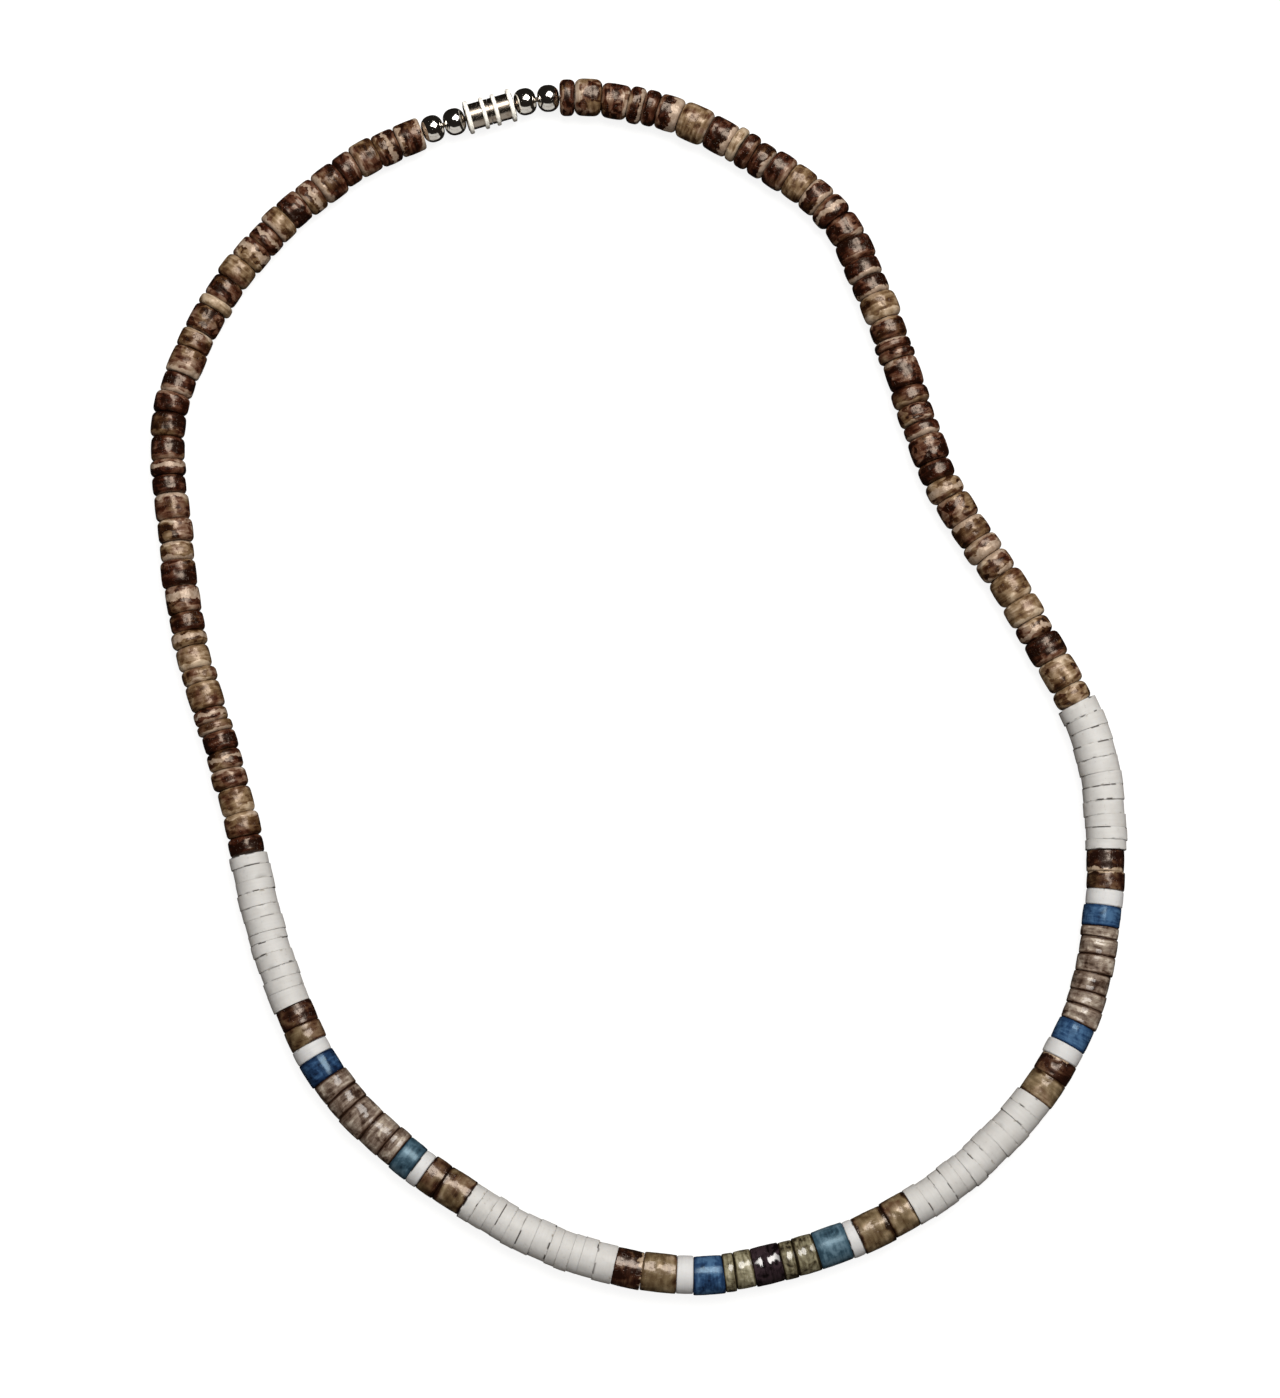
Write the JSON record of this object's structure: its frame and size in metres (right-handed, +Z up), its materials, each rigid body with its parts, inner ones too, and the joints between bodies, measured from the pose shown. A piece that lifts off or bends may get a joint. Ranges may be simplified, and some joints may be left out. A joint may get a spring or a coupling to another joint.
{
  "type": "coconut shell bead necklace",
  "caption": "Fastened choker-length loop of coconut, white, blue, brown and smoky disc beads with metal balls and a ringed barrel clasp, lying flat.",
  "frame": {"origin": "middle of the loop's box, on the surface that it lies on", "axes": "+Z up from the surface, +Y towards the clasp's end of the loop, +X to the right as seen from above"},
  "size_m": [0.1338, 0.168, 0.0058],
  "materials": {
    "coconut": "polished coconut shell, streaked dark brown to tan",
    "white_shell": "chalky white shell, satin",
    "brown_shell": "polished brown, banded dark and tan",
    "blue_shell": "blue-dyed shell, gently glossy",
    "smoky_shell": "smoky grey-tan shell, glossy",
    "violet_shell": "near-black violet shell, glossy",
    "ball_metal": "polished silver-tone",
    "clasp_metal": "polished, slightly warm silver-tone",
    "thread": "waxed cord"
  },
  "bodies": {
    "root": {"ball_left_inner": "ball_metal", "ball_left_outer": "ball_metal", "ball_right_inner": "ball_metal", "ball_right_outer": "ball_metal", "centre_blue_1": "blue_shell", "centre_blue_2": "blue_shell", "centre_brown_1": "brown_shell", "centre_brown_2": "brown_shell", "centre_brown_3": "brown_shell", "centre_brown_4": "brown_shell", "centre_smoky_1": "smoky_shell", "centre_smoky_2": "smoky_shell", "centre_smoky_3": "smoky_shell", "centre_smoky_4": "smoky_shell", "centre_violet_1": "violet_shell", "centre_white_1": "white_shell", "centre_white_2": "white_shell", "clasp_plug": "clasp_metal", "clasp_socket": "clasp_metal", "coconut_left": "coconut", "coconut_right": "coconut", "left_blue_1": "blue_shell", "left_blue_2": "blue_shell", "left_brown_1": "brown_shell", "left_brown_2": "brown_shell", "left_brown_3": "brown_shell", "left_brown_4": "brown_shell", "left_smoky_1": "smoky_shell", "left_smoky_2": "smoky_shell", "left_smoky_3": "smoky_shell", "left_smoky_4": "smoky_shell", "left_smoky_5": "smoky_shell", "left_white_1": "white_shell", "left_white_2": "white_shell", "right_blue_1": "blue_shell", "right_blue_2": "blue_shell", "right_brown_1": "brown_shell", "right_brown_2": "brown_shell", "right_brown_3": "brown_shell", "right_brown_4": "brown_shell", "right_smoky_1": "smoky_shell", "right_smoky_2": "smoky_shell", "right_smoky_3": "smoky_shell", "right_smoky_4": "smoky_shell", "right_smoky_5": "smoky_shell", "right_smoky_6": "smoky_shell", "right_white_1": "white_shell", "right_white_2": "white_shell", "thread": "thread", "white_left_front": "white_shell", "white_left_lower": "white_shell", "white_right_front": "white_shell", "white_right_upper": "white_shell"}
  },
  "joints": []
}
